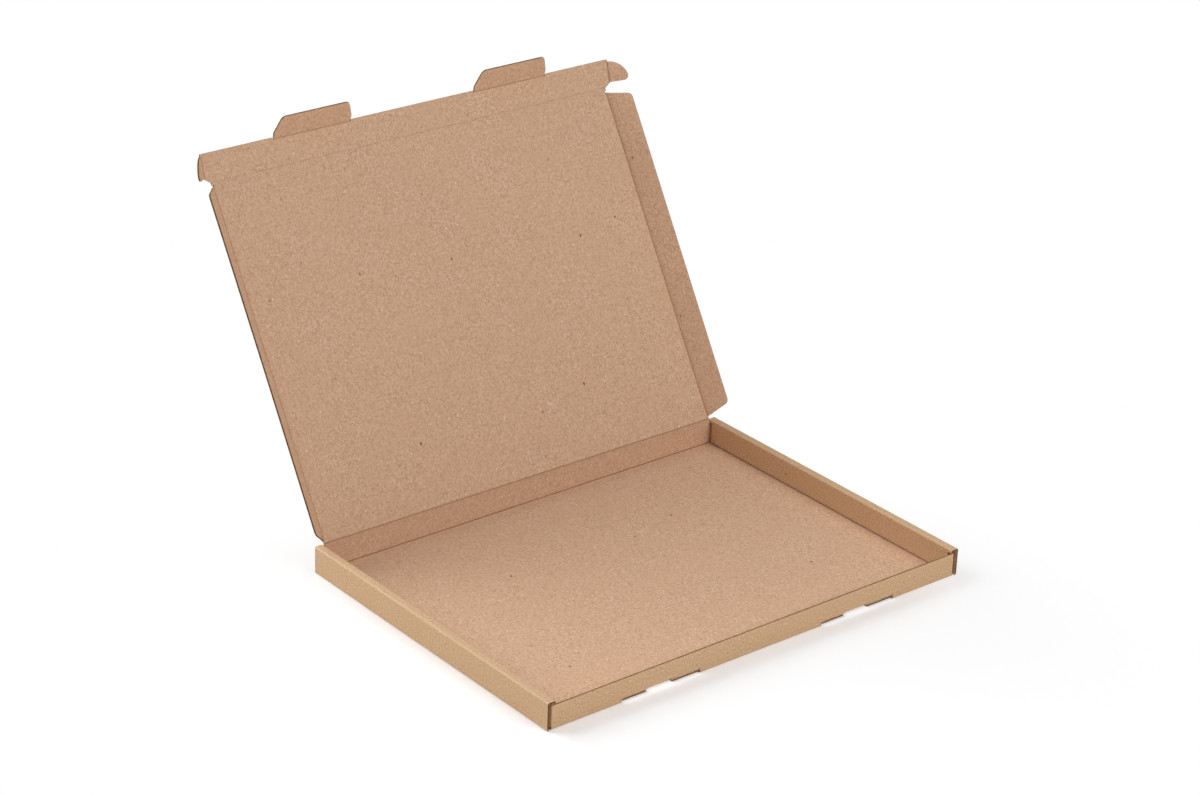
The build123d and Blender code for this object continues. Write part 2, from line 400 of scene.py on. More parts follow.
def inset_outline(outline, distances):
    """A counter-clockwise outline moved inwards, each side by its own distance."""
    moved = []
    for i, here in enumerate(outline):
        first = (here - outline[i - 1]).normalized()
        second = (outline[(i + 1) % len(outline)] - here).normalized()
        first_in, second_in = Vector((-first.y, first.x)), Vector((-second.y, second.x))
        before, after = distances[i - 1], distances[i]
        turn = first.dot(second_in)
        slide = 0.0
        if abs(turn) > straight:
            slide = (after - before * first_in.dot(second_in)) / turn
        moved.append(here + first_in * before + first * slide)
    return moved


def rounded(corners):
    """Corner points with a radius each, as an outline with arcs."""
    outline = []
    for i, (x, y, radius) in enumerate(corners):
        here = Vector((x, y))
        if not radius:
            outline.append(here)
            continue
        to_last = (Vector(corners[i - 1][:2]) - here).normalized()
        to_next = (Vector(corners[(i + 1) % len(corners)][:2]) - here).normalized()
        half = to_last.angle(to_next) / 2
        centre = here + (to_last + to_next).normalized() * (radius / math.sin(half))
        start = here + to_last * (radius / math.tan(half)) - centre
        sweep = start.angle_signed(here + to_next * (radius / math.tan(half)) - centre)
        for k in range(arc_steps + 1):
            outline.append(centre + Matrix.Rotation(-sweep * k / arc_steps, 2) @ start)
    return outline


print(len(edge_rings), "rings on a cut edge")

# %% Shells of board
station = 12.0
mirror_x = Matrix.Scale(-1, 4, RIGHT)


def new_shell():
    """An empty mesh with the two attributes that the liners read."""
    shell = bmesh.new()
    shell.verts.layers.float_vector.new("sheet")
    shell.verts.layers.float.new("wear_shade_and_highlight")
    return shell


def cross_cuts(shell, low, high, normal):
    """Cuts the shell into bands, so that it can bow."""
    count = int((high - low) / station)
    for k in range(1, count):
        bmesh.ops.bisect_plane(
            shell, geom=shell.verts[:] + shell.edges[:] + shell.faces[:],
            plane_co=normal * (low + (high - low) * k / count), plane_no=normal,
        )


def box_axes(axes, mirror):
    """A panel's axes in the box, mirrored for a panel on the left."""
    return (mirror_x if mirror else Matrix()) @ axes


def place_shell(shell, axes, mirror):
    """Puts a shell made in a panel's axes where it belongs, in metres, with its faces outwards."""
    shell.transform(Matrix.Scale(MM, 4) @ box_axes(axes, mirror))
    shell.normal_update()
    bmesh.ops.recalc_face_normals(shell, faces=shell.faces)
    if shell.calc_volume(signed=True) < 0:
        bmesh.ops.reverse_faces(shell, faces=shell.faces)
    return shell


def one_piece(name, shells):
    """Joins shells into one mesh object with the board's materials."""
    parts = []
    for shell in shells:
        mesh = bpy.data.meshes.new(name)
        shell.to_mesh(mesh)
        shell.free()
        for material in board_materials:
            mesh.materials.append(material)
        parts.append(bpy.data.objects.new(name, mesh))
        scene.collection.objects.link(parts[-1])
    if len(parts) > 1:
        with bpy.context.temp_override(active_object=parts[0], selected_editable_objects=parts):
            bpy.ops.object.join()
    parts[0].name = name
    print(f"{name}: {len(parts[0].data.polygons)} faces")
    return parts[0]


def finish_panel(piece, body, node):
    """Ties a panel to its body and to the solid that it stands for."""
    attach(piece, body)
    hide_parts(node)


print("bands about", station, "mm wide")

# %% Lines for the fluting
fluting_lines = {body: [] for body in frame["bodies"]}


def cut_runs(outline, cut):
    """The runs of points along the sides that are cut."""
    count = len(outline)
    if all(cut):
        return [outline + outline[:1]]
    first = next((i for i in range(count) if cut[i] and not cut[i - 1]), 0)
    runs = []
    for k in range(count):
        i = (first + k) % count
        if not cut[i]:
            continue
        if not cut[i - 1]:
            runs.append([outline[i]])
        runs[-1].append(outline[(i + 1) % count])
    return runs


def divided(run):
    """A run of points with more points between them, about a station apart."""
    line = []
    for start, end in zip(run, run[1:]):
        count = max(1, round((end - start).length / station))
        line += [start.lerp(end, k / count) for k in range(count)]
    return line + run[-1:]


def keep_fluting_lines(body, outline, cut, to_box, upright, bow):
    """Keeps the lines between the liners along the cut sides, for the fluting that is made later."""
    middle = inset_outline(outline, [fluting_inset if flag else 0.0 for flag in cut])
    through = to_box.to_3x3() @ UP
    for run in cut_runs(middle, cut):
        line = []
        for point in divided(run):
            level = board / 2 + (bow(*point) if bow else 0.0)
            line.append((to_box @ Vector((*point, level)), through, point.x if upright else point.y))
        fluting_lines[body].append(line)


print("fluting on", len(fluting_lines), "bodies at most")


# %% The panel maker
def board_panel(body, outline, cut, axes, blank=(0, 0), upright=False, bow=None, mirror=False):
    """A panel of board from its outline, with a flag for each side that is cut.

    It lies at blank on the flat sheet. Its flutes run across it, or along it if they are upright, and bow
    gives how far it bends at a point.
    """
    shell = new_shell()
    sheet = shell.verts.layers.float_vector["sheet"]
    rings = []
    for inset, level in edge_rings:
        ring = inset_outline(outline, [inset if flag else 0.0 for flag in cut])
        rings.append([shell.verts.new((*point, level)) for point in ring])
    for low, high, kind in zip(rings, rings[1:], ring_kinds):
        for i, point in enumerate(low):
            j = (i + 1) % len(low)
            shell.faces.new((point, low[j], high[j], high[i])).material_index = kind
    shell.faces.new(reversed(rings[0])).material_index = OUTER
    shell.faces.new(rings[-1]).material_index = INNER
    cross_cuts(shell, min(p.x for p in outline), max(p.x for p in outline), RIGHT)
    cross_cuts(shell, min(p.y for p in outline), max(p.y for p in outline), BACK)
    for vert in shell.verts:
        x, y, level = vert.co
        along_flutes, across_flutes = (y, x) if upright else (x, y)
        vert[sheet] = Vector((blank[0] + along_flutes, blank[1] + across_flutes, level)) * MM
        if bow:
            vert.co.z += bow(x, y)
    keep_fluting_lines(body, outline, cut, box_axes(axes, mirror), upright, bow)
    return place_shell(shell, axes, mirror)


print("panel maker ready")

# %% [markdown]
# ## A pressed crease
# A crease is where a blunt rule has pressed a line into the board, so that it folds there. The outer
# liner bends round it and the inner liner sinks into a shallow score. On a model that folds, the
# crease has to bend as well.

# %% The crease maker
score_depth, score_width = 0.38, 0.5
# How much of the crease's painted shade and burnish the outer liner gets
outer_burnish_and_shade_share = 0.3
half_shares = (0.12, 0.22, 0.34, 0.5, 0.72, 1.0)
across_shares = (*(-share for share in reversed(half_shares)), 0.0, *half_shares)


def smooth(share):
    return share * share * (3 - 2 * share)


def close_strip(shell, outer, inner):
    """The faces of a strip, from its rows of points on the two liners."""
    count = len(outer[0]) - 1
    for rows, kind in ((outer, OUTER), (inner, INNER)):
        for first, second in zip(rows, rows[1:]):
            for k in range(count):
                quad = (first[k], first[k + 1], second[k + 1], second[k])
                shell.faces.new(quad).material_index = kind
    for low, high in ((outer[0], inner[0]), (outer[-1], inner[-1])):
        for k in range(count):
            shell.faces.new((low[k], low[k + 1], high[k + 1], high[k])).material_index = EDGE
    for k in (0, count):
        for i in range(len(outer) - 1):
            quad = (outer[i][k], outer[i + 1][k], inner[i + 1][k], inner[i][k])
            shell.faces.new(quad).material_index = EDGE


def crease_strip(
    name, pair, parent, place, out, degrees, reach, ends, press=1.0, pivot=0.0, blank=(0, 0), mirror=False
):
    """A strip of board over a crease, pressed in and bent between the two bodies of its pair.

    It goes out across or along its parent's axes, as far as its reach to either side of the crease, and
    ends gives where it starts and stops at a distance from the crease.
    """
    shell = new_shell()
    sheet, wear_shade_and_highlight = shell.verts.layers.float_vector["sheet"], shell.verts.layers.float["wear_shade_and_highlight"]

    def bent(u, v, w):
        turn = math.radians(degrees) * smooth((u + reach) / (2 * reach))
        u_bent = u * math.cos(turn) - (w - pivot) * math.sin(turn)
        w_bent = pivot + u * math.sin(turn) + (w - pivot) * math.cos(turn)
        return Vector((u_bent, v, w_bent) if out == "across" else (v, u_bent, w_bent))

    longest = max(high - low for low, high in (ends(share * reach) for share in across_shares))
    count = max(2, round(longest / station))
    sides = []
    for inner in (False, True):
        rows = []
        for share in across_shares:
            u = share * reach
            low, high = ends(u)
            pressed = press * math.exp(-((u / score_width) ** 2))
            w = board - score_depth * pressed if inner else 0.0
            row = []
            for k in range(count + 1):
                v = low + (high - low) * k / count
                vert = shell.verts.new(bent(u, v, w))
                x, y = (u, v) if out == "across" else (v, u)
                vert[sheet] = Vector((blank[0] + x, blank[1] + y, w)) * MM
                # Painted shade along the crease, over the burnish of the pressed paper, strongest on the
                # inner liner
                vert[wear_shade_and_highlight] = pressed * (1.0 if inner else outer_burnish_and_shade_share)
                row.append(vert)
            rows.append(row)
        sides.append(rows)
    close_strip(shell, *sides)
    crease_axes = parent @ Matrix.Translation(place)
    strip = one_piece(name, [place_shell(shell, crease_axes, mirror)])
    middle = sum(ends(0.0)) / 2
    level = board if degrees > 0 else 0.0
    to_box = Matrix.Scale(MM, 4) @ box_axes(crease_axes, mirror)
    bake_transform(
        strip, *pair, start=to_box @ bent(-reach, middle, level), end=to_box @ bent(reach, middle, level)
    )


print("crease maker ready")

# %% [markdown]
# ## The lid
# The lid is one large panel between four creases, so it has no cut edge of its own. A sheet this large
# never stays quite flat, so it bows by less than a millimetre, which gives the soft change of tone that
# a dead flat plane lacks. The bow fades out at the creases, where the neighbours have to meet it.

# %% The lid panel
hinge_reach, front_reach, side_reach = 2.0, 2.0, 3.2
lid_bow = 0.8


def bow_of_lid(x, y):
    x_share = max(-1.0, min(1.0, x / (lid_half - side_reach)))
    y_share = (y - hinge_reach) / (lid_depth - hinge_reach - front_reach)
    rise = math.cos(math.pi / 2 * x_share) * math.sin(math.pi * max(0.0, min(1.0, y_share)))
    return -lid_bow * rise


def rectangle(low_x, low_y, high_x, high_y):
    return [Vector(p) for p in ((low_x, low_y), (high_x, low_y), (high_x, high_y), (low_x, high_y))]


lid_outline = rectangle(side_reach - lid_half, hinge_reach, lid_half - side_reach, lid_depth - front_reach)
lid = one_piece("lid_board", [board_panel("lid", lid_outline, [False] * 4, lid_axes, bow=bow_of_lid)])
finish_panel(lid, "lid", "lid_panel")

# %% [markdown]
# ## The lid's side flaps
# The two long flaps tuck down inside the tray. Their ends slant back so that they slide in, and their
# outer corners are rounded. The left one is the right one mirrored, which is how the die is drawn too.

# %% Side flaps and their creases
flap_width, flap_start, flap_end_gap, flap_slant, flap_corner = 18.2, 1.6, 3.5, 5.8, 4.0
flap_bow = 0.35
flap_end = lid_depth - flap_end_gap
flap_slope = flap_slant / flap_width
# Where the ends of the crease step from the lid's to the flap's
end_step_share = 0.3
both_sides = (("right", False), ("left", True))


def bow_of_flap(u, v):
    return flap_bow * (u - side_reach) / flap_width * math.sin(math.pi * v / lid_depth)


def side_crease_ends(u):
    if u < -end_step_share * side_reach:
        return hinge_reach, lid_depth - front_reach
    past = max(0.0, u)
    return flap_start + flap_slope * past, flap_end - flap_slope * past


flap_outline = rounded(
    [
        (side_reach, flap_start + flap_slope * side_reach, 0),
        (flap_width, flap_start + flap_slant, flap_corner),
        (flap_width, flap_end - flap_slant, flap_corner),
        (side_reach, flap_end - flap_slope * side_reach, 0),
    ]
)
flap_cut = [True] * (len(flap_outline) - 1) + [False]
for side, mirror in both_sides:
    body = f"{side}_side_flap"
    shell = board_panel(
        body, flap_outline, flap_cut, side_axes, blank=(lid_half, 0), bow=bow_of_flap, mirror=mirror
    )
    finish_panel(one_piece(f"{side}_flap_board", [shell]), body, f"lid_{side}_flap")
    crease_strip(
        f"{side}_flap_crease", ("lid", body), lid_axes, side_place, "across", side_fold,
        side_reach, side_crease_ends, blank=(lid_half, 0), mirror=mirror,
    )

# %% [markdown]
# ## The front flap, its tabs and its ears
# The narrow flap at the lid's far edge folds down over the front wall. Two flared tabs on its edge lock
# into slots at the foot of that wall, and a rounded ear at each end slides in beside it. All three
# kinds hang on creases of their own, so the flap's outline is notched where their strips begin.

# %% Outline of the front flap
front_height, front_corner = 20.2, 0.8
ear_start, ear_root = 3.6, 15.0
ear_end = ear_start + ear_root
tab_root_half, tab_notch = 31.0, 1.0
ear_reach, tab_reach = 1.5, 1.5
tab_opening = tab_root_half + tab_notch
crease_slope = (ear_x - lid_half) / ear_start
tab_x = tab_place.x


def mirrored_half(points):
    """A right half, from the bottom up, with its left half added."""
    return points + [(-x, *rest) for x, *rest in reversed(points)]


front_half = [
    (lid_half + crease_slope * front_reach, front_reach, 0),
    (ear_x, ear_start, 0),
    (ear_x - ear_reach, ear_start, 0),
    (ear_x - ear_reach, ear_end, 0),
    (ear_x, ear_end, 0),
    (ear_x, front_height, front_corner),
    (tab_x + tab_opening, front_height, 0),
    (tab_x + tab_opening, tab_crease - tab_reach, 0),
    (tab_x - tab_opening, tab_crease - tab_reach, 0),
    (tab_x - tab_opening, front_height, 0),
]
front_outline = rounded(mirrored_half(front_half))
print("front flap:", len(front_outline), "points in the outline")

# %% The front flap
crease_levels = (front_reach, tab_crease - tab_reach)
nearness = 0.001


def near(value, *places):
    return min(abs(value - place) for place in places) < nearness


def on_front_crease(start, end):
    """True for a side that goes on into a crease."""
    level = near(start.y, end.y) and near(start.y, *crease_levels, ear_start, ear_end)
    return level or near(abs(start.x + end.x) / 2, ear_x - ear_reach)


front_sides = list(zip(front_outline, front_outline[1:] + front_outline[:1]))
front_cut = [not on_front_crease(start, end) for start, end in front_sides]
front_blank = (0, lid_depth)
front_shell = board_panel("front_flap", front_outline, front_cut, front_axes, blank=front_blank)
finish_panel(one_piece("front_flap_board", [front_shell]), "front_flap", "lid_front_flap")
print("front flap:", sum(front_cut), "of", len(front_cut), "sides are cut")

# %% Crease of the front flap
# How deep this crease is pressed, and how dark its painted shade is
front_press = 0.3


def front_crease_ends(u):
    half = lid_half + crease_slope * max(0.0, u)
    return -half, half


crease_strip(
    "front_flap_crease", ("lid", "front_flap"), lid_axes, front_place, "along",
    rest_fold("front_flap_fold"), front_reach, front_crease_ends, press=front_press, blank=front_blank,
)

# %% Tabs
tab_flare, tab_flare_height, tab_top_half, tab_height, tab_corner = 0.7, 5.0, 27.0, 17.8, 4.0
# How deep the tab creases are pressed, and how dark their painted shade is
tab_press = 0.8
tab_root_slope = tab_flare / tab_flare_height
tab_outline = rounded(
    [
        (tab_root_half + tab_root_slope * tab_reach, tab_reach, 0),
        (tab_root_half + tab_flare, tab_flare_height, tab_corner),
        (tab_top_half, tab_height, tab_corner),
        (-tab_top_half, tab_height, tab_corner),
        (-tab_root_half - tab_flare, tab_flare_height, tab_corner),
        (-tab_root_half - tab_root_slope * tab_reach, tab_reach, 0),
    ]
)
tab_cut = [True] * (len(tab_outline) - 1) + [False]
tab_blank = (tab_x, lid_depth + tab_crease)


def tab_crease_ends(u):
    half = tab_opening if u < 0 else tab_root_half + tab_root_slope * u
    return -half, half


for side, mirror in both_sides:
    body = f"{side}_tab"
    shell = board_panel(body, tab_outline, tab_cut, tab_axes, blank=tab_blank, mirror=mirror)
    finish_panel(one_piece(f"{side}_tab_board", [shell]), body, f"front_tab_{side}")
    crease_strip(
        f"{side}_tab_crease", ("front_flap", body), front_axes, tab_local, "along",
        rest_fold(f"{side}_tab_fold"), tab_reach, tab_crease_ends,
        press=tab_press, blank=tab_blank, mirror=mirror,
    )

# %% Ears
ear_radius, ear_tip = 15.0, 3.5
ear_steps = 12
tip_turn = math.asin(ear_tip / (ear_radius - ear_tip))
tip_centre = Vector(((ear_radius - ear_tip) * math.cos(tip_turn), ear_start + ear_tip))


def arc(centre, radius, first, last):
    """Points of an arc from one angle to another."""
    angles = [first + (last - first) * k / ear_steps for k in range(ear_steps + 1)]
    return [centre + radius * Vector((math.cos(angle), math.sin(angle))) for angle in angles]


ear_outline = [Vector((ear_reach, ear_start)), *arc(tip_centre, ear_tip, -math.pi / 2, tip_turn)]
ear_outline += arc(Vector((0, ear_start)), ear_radius, tip_turn, math.acos(ear_reach / ear_radius))[1:]
ear_cut = [True] * (len(ear_outline) - 1) + [False]
ear_blank = (ear_x, lid_depth)


def ear_crease_ends(u):
    return ear_start, ear_start + math.sqrt(ear_radius**2 - max(0.0, u) ** 2)


for side, mirror in both_sides:
    body = f"{side}_ear"
    fold = rest_fold(f"{side}_ear_fold")
    ear_axes = folded(front_axes, ear_local, "across", fold)
    shell = board_panel(body, ear_outline, ear_cut, ear_axes, blank=ear_blank, mirror=mirror)
    finish_panel(one_piece(f"{side}_ear_board", [shell]), body, f"lid_{side}_ear")
    crease_strip(
        f"{side}_ear_crease", ("front_flap", body), front_axes, ear_local, "across", fold,
        ear_reach, ear_crease_ends, blank=ear_blank, mirror=mirror,
    )

# %% [markdown]
# ## The tray
# The tray's two side walls are rolled: the board goes up, turns over a narrow flat top, and comes down
# again inside, with the end flaps of the front and back walls caught between. Rounded folds run
# round the foot. Folds that never move are bars with a rounded outer corner, and flat stretches are
# panels like the others. Everything is joined into one mesh, because it moves as one body.


# %% Bars for fixed folds
def bar(
    section, axes, low, high, inner_from=None, marks=None, recess=False, flutes_round=True, mirror=False
):
    """A length of board with the given section, whose ends may show the groove between the liners.

    Points from inner_from on are on the inner liner; marks paints shade, or below zero highlight, on some.
    """
    shell = new_shell()
    sheet, wear_shade_and_highlight = shell.verts.layers.float_vector["sheet"], shell.verts.layers.float["wear_shade_and_highlight"]
    hollow = inset_outline(section, [liner] * len(section))
    count = max(1, round((high - low) / station))
    rings = [(section, low + (high - low) * k / count) for k in range(count + 1)]
    if recess:
        rings = [(hollow, low + groove_depth), (hollow, low), *rings]
        rings += [(hollow, high), (hollow, high - groove_depth)]
    made = []
    for outline, level in rings:
        ring, walked = [], 0.0
        for i, point in enumerate(outline):
            walked += (point - outline[i - 1]).length if i else 0.0
            vert = shell.verts.new((*point, level))
            spot = (walked, level) if flutes_round else (level, walked)
            vert[sheet] = Vector((*spot, 0)) * MM
            # Painted shade on a crease, and below zero a painted highlight on a fold, over burnish and wear
            vert[wear_shade_and_highlight] = marks.get(i, 0.0) if marks else 0.0
            ring.append(vert)
        made.append(ring)
    end_kinds = {0: GROOVE, 1: EDGE, len(made) - 3: EDGE, len(made) - 2: GROOVE} if recess else {}
    for k, (first, second) in enumerate(zip(made, made[1:])):
        for i, vert in enumerate(first):
            j = (i + 1) % len(first)
            kind = INNER if inner_from is not None and i >= inner_from else OUTER
            face = shell.faces.new((vert, first[j], second[j], second[i]))
            face.material_index = end_kinds.get(k, kind)
    for ring in (made[0], made[-1]):
        shell.faces.new(ring).material_index = GROOVE if recess else EDGE
    return place_shell(shell, axes, mirror)


section_xz = panel_frame(Vector(), RIGHT, UP)
section_yz = panel_frame(Vector(), BACK, UP)
section_xy = panel_frame(Vector(), RIGHT, BACK)
print("bar maker ready")

# %% Section of the rolled side walls
fold_radius = 1.2
lid_clearance = 0.6
roll_turn = 1.0
# How strongly the two folds at the top get a painted highlight over the wear of the liner
outer_wear_and_highlight, inner_wear_and_highlight = 0.5, 0.2
inner_x = lid_half + lid_clearance
strip_underside = wall_height - board
roll_section = rounded(
    [
        (box_half - board, 0, 0),
        (box_half, 0, fold_radius),
        (box_half, wall_height, fold_radius),
        (inner_x, wall_height, fold_radius),
        (inner_x, strip_underside - roll_turn, 0),
        (inner_x + board, strip_underside - roll_turn, 0),
        (inner_x + board, strip_underside, 0),
        (box_half - board, strip_underside, 0),
    ]
)
# The first points of the two folds at the top, after the first corner and the fold at the foot
arc_points = arc_steps + 1
outer_fold = 1 + arc_points
inner_fold = outer_fold + arc_points
roll_inner_from = inner_fold + arc_points
# Pale lines on the two folds at the top: wear of the stretched liner, with a painted highlight
worn_and_highlit_folds = {outer_fold + k: -outer_wear_and_highlight for k in range(1, arc_steps)}
worn_and_highlit_folds |= {inner_fold + k: -inner_wear_and_highlight for k in range(1, arc_steps)}
print("rolled walls:", len(roll_section), "points in the section")

# %% Rolled side walls
inner_end_gap, inner_lift = 2.0, 0.8
inner_half_depth = depth_half - board - inner_end_gap
inner_foot, inner_top = board + inner_lift, strip_underside - roll_turn
inner_panel_axes = panel_frame(Vector((inner_x, 0, 0)), BACK, UP)
inner_panel_outline = rectangle(-inner_half_depth, inner_foot, inner_half_depth, inner_top)
tray_shells = []
for mirror in (False, True):
    tray_shells.append(
        bar(
            roll_section, section_xz, -depth_half, depth_half, roll_inner_from,
            marks=worn_and_highlit_folds, recess=True, mirror=mirror,
        )
    )
    tray_shells.append(
        board_panel(
            "tray", inner_panel_outline, [True, True, False, True], inner_panel_axes,
            blank=(wall_height + board, 0), upright=True, mirror=mirror,
        )
    )
print(f"inner panels from {inner_foot:.1f} to {inner_top:.1f} mm")

# %% Floor with its slots
slot_clearance, slot_depth, slot_height = 0.4, 2.0, 3.3
slot_half = tab_root_half + tab_flare + slot_clearance
thumb_half, thumb_depth, thumb_height = 10.5, 6.5, 3.8
floor_x, floor_y = box_half - board, depth_half - board
floor_axes = panel_frame(Vector(), RIGHT, BACK)
score_gap, score_sink = 0.5, 0.45
# Which sides are cut, along the edge to a slot and round it
slotted = [False] + [True] * 7


def slotted_edge(half, base, slot, thumb):
    """An edge from left to right with the two slots, each with its thumb notch in the middle."""
    edge = [(-half, base)]
    for centre in (-tab_x, tab_x):
        left, right = centre - slot_half, centre + slot_half
        thumb_left, thumb_right = centre - thumb_half, centre + thumb_half
        edge += [(left, base), (left, slot), (thumb_left, slot), (thumb_left, thumb)]
        edge += [(thumb_right, thumb), (thumb_right, slot), (right, slot), (right, base)]
    return edge + [(half, base)]


floor_low, floor_high = -floor_y + score_gap, floor_y - score_gap
floor_front = slotted_edge(floor_x, floor_low, slot_depth - depth_half, thumb_depth - depth_half)
floor_outline = [Vector(p) for p in floor_front + [(floor_x, floor_high), (-floor_x, floor_high)]]
floor_cut = slotted * 2 + [False] * 4
tray_shells.append(board_panel("tray", floor_outline, floor_cut, floor_axes))
print("floor:", sum(floor_cut), "of", len(floor_cut), "sides are cut")

# %% Front wall and back wall
corner_slack = 0.5
end_x = box_half - 2 * board - corner_slack
panel_x = end_x - board
front_wall_axes = panel_frame(Vector((0, -depth_half, 0)), -RIGHT, UP)
back_wall_axes = panel_frame(Vector((0, depth_half, 0)), RIGHT, UP)
wall_foot = board + score_gap
front_foot = slotted_edge(panel_x, wall_foot, slot_height, thumb_height)
front_foot += [(panel_x, front_wall_height), (-panel_x, front_wall_height)]
front_wall_cut = slotted * 2 + [False, False, True, False]
front_wall_outline = [Vector(p) for p in front_foot]
tray_shells.append(board_panel("tray", front_wall_outline, front_wall_cut, front_wall_axes))
back_wall_top = hinge.z - hinge_reach
back_wall_outline = rectangle(-panel_x, wall_foot, panel_x, back_wall_top)
tray_shells.append(board_panel("tray", back_wall_outline, [False] * 4, back_wall_axes))
print("front wall:", len(front_wall_outline), "corners")

# %% Feet of the front and back walls
foot_section = rounded(
    [
        (-depth_half, wall_foot, 0),
        (-depth_half, 0, fold_radius),
        (floor_low, 0, 0),
        (floor_low, board, 0),
        (-floor_y - score_sink, board - score_sink, 0),
        (-floor_y, wall_foot, 0),
    ]
)
foot_inner_from = len(foot_section) - 3
# Painted shade along the crease at the foot, over the burnish of the pressed paper
foot_burnish_and_shade = {len(foot_section) - 2: 1.0}
back_section = [Vector((-p.x, p.y)) for p in foot_section]
slot_ends = [centre + end for centre in (-tab_x, tab_x) for end in (-slot_half, slot_half)]
foot_stops = [-end_x, *slot_ends, end_x]
for low, high in zip(foot_stops[::2], foot_stops[1::2]):
    tray_shells.append(
        bar(
            foot_section, section_yz, low, high, foot_inner_from, foot_burnish_and_shade,
            recess=True, flutes_round=False,
        )
    )
tray_shells.append(
    bar(back_section, section_yz, -end_x, end_x, foot_inner_from, foot_burnish_and_shade, flutes_round=False)
)
print("front foot in", len(foot_stops) // 2, "stretches")

# %% Corner folds and end flaps
end_flap_length, end_flap_slant = 55.0, 6.0
end_axes = panel_frame(Vector((end_x, 0, 0)), -BACK, UP)
flap_tip = depth_half - end_flap_length
corner_section = rounded(
    [
        (panel_x, -depth_half, 0),
        (end_x, -depth_half, fold_radius),
        (end_x, -floor_y, 0),
        (panel_x, -floor_y, 0),
    ]
)
rear_section = [Vector((p.x, -p.y)) for p in reversed(corner_section)]
for mirror in (False, True):
    for section, top, toward in (
        (corner_section, front_wall_height, 1),
        (rear_section, back_wall_top, -1),
    ):
        tray_shells.append(bar(section, section_xy, wall_foot, top, recess=True, mirror=mirror))
        corners = [(flap_tip, board), (floor_y, board), (floor_y, top), (flap_tip, top - end_flap_slant)]
        outline = [Vector((toward * x, z)) for x, z in corners][::toward]
        at_root = [near(abs(point.x), floor_y) for point in outline]
        cut = [not (at_root[i] and at_root[(i + 1) % len(outline)]) for i in range(len(outline))]
        tray_shells.append(board_panel("tray", outline, cut, end_axes, mirror=mirror))
tray = one_piece("tray_board", tray_shells)
finish_panel(tray, "tray", "tray")

# %% The hinge crease
hinge_place = Vector((0, hinge.z, 0))


def hinge_ends(u):
    return -lid_half, lid_half


crease_strip(
    "lid_hinge_crease", ("tray", "lid"), back_wall_axes, hinge_place, "along", -lean,
    hinge_reach, hinge_ends, pivot=board / 2,
)

# %% [markdown]
# ## The waves in the cut edges
# Between the liners runs the fluting, a paper pressed into waves. Along an edge that crosses the flutes
# it shows as a row of little arches, and along an edge that follows them it is one wandering line.
# Geometry Nodes suit this well: each cut edge is a line, the nodes divide it finely, push every point
# up or down by the sine of its place across the flutes, and sweep a thin strand of paper along it.

# %% The fluting tree
# In millimetres, apart from Slack, which is how far the waves may drift, in radians
wave_size = {
    "Pitch": flute_pitch,
    "Height": 0.3,
    "Paper": 0.13,
    "Step": 0.45,
    "Slack": 0.9,
    "Slack size": 14.0,
}
strand_sides = 5


def fluting_tree():
    """The nodes that turn lines along the cut edges into waves of paper."""
    tree = bpy.data.node_groups.new("fluting", "GeometryNodeTree")
    tree.interface.new_socket("Edges", in_out="INPUT", socket_type="NodeSocketGeometry")
    for name in wave_size:
        tree.interface.new_socket(name, in_out="INPUT", socket_type="NodeSocketFloat")
    tree.interface.new_socket("Fluting", in_out="OUTPUT", socket_type="NodeSocketGeometry")
    given = add(tree, "NodeGroupInput").outputs
    lines = add(tree, "GeometryNodeMeshToCurve", Mesh=given["Edges"])
    fine = add(
        tree, "GeometryNodeResampleCurve", {"mode": "LENGTH"}, Curve=lines.outputs[0], Length=given["Step"]
    )
    place = add(tree, "GeometryNodeInputNamedAttribute", {"data_type": "FLOAT"}, Name="flute_place")
    through = add(tree, "GeometryNodeInputNamedAttribute", {"data_type": "FLOAT_VECTOR"}, Name="through")
    waves = add(tree, "ShaderNodeMath", {"operation": "DIVIDE"}, in_0=place.outputs[0], in_1=given["Pitch"])
    angle = add(tree, "ShaderNodeMath", MULTIPLY, in_0=waves.outputs[0], in_1=2 * math.pi)
    spot = add(tree, "GeometryNodeInputPosition")
    per_size = add(tree, "ShaderNodeMath", {"operation": "DIVIDE"}, in_0=1.0, in_1=given["Slack size"])
    drift = add(tree, "ShaderNodeTexNoise", Vector=spot.outputs[0], Scale=per_size.outputs[0], Detail=1.0)
    wander = add(
        tree, "ShaderNodeMath", {"operation": "MULTIPLY_ADD"},
        in_0=drift.outputs[0], in_1=given["Slack"], in_2=angle.outputs[0],
    )
    sine = add(tree, "ShaderNodeMath", {"operation": "SINE"}, in_0=wander.outputs[0])
    rise = add(tree, "ShaderNodeMath", MULTIPLY, in_0=sine.outputs[0], in_1=given["Height"])
    move = add(
        tree, "ShaderNodeVectorMath", {"operation": "SCALE"}, in_0=through.outputs[0], Scale=rise.outputs[0]
    )
    waved = add(tree, "GeometryNodeSetPosition", Geometry=fine.outputs[0], Offset=move.outputs[0])
    strand = add(tree, "GeometryNodeCurvePrimitiveCircle", Resolution=strand_sides, Radius=given["Paper"])
    swept = add(
        tree, "GeometryNodeCurveToMesh",
        Curve=waved.outputs[0], Profile_Curve=strand.outputs[0], Fill_Caps=True,
    )
    real = add(tree, "GeometryNodeRealizeInstances", Geometry=swept.outputs[0])
    painted = add(tree, "GeometryNodeSetMaterial", Geometry=real.outputs[0], Material=fluting_paper)
    add(tree, "NodeGroupOutput", Fluting=painted.outputs[0])
    return tree


wave_tree = fluting_tree()
sockets = {item.name: item.identifier for item in wave_tree.interface.items_tree if item.in_out == "INPUT"}
print("fluting inputs", sorted(sockets))


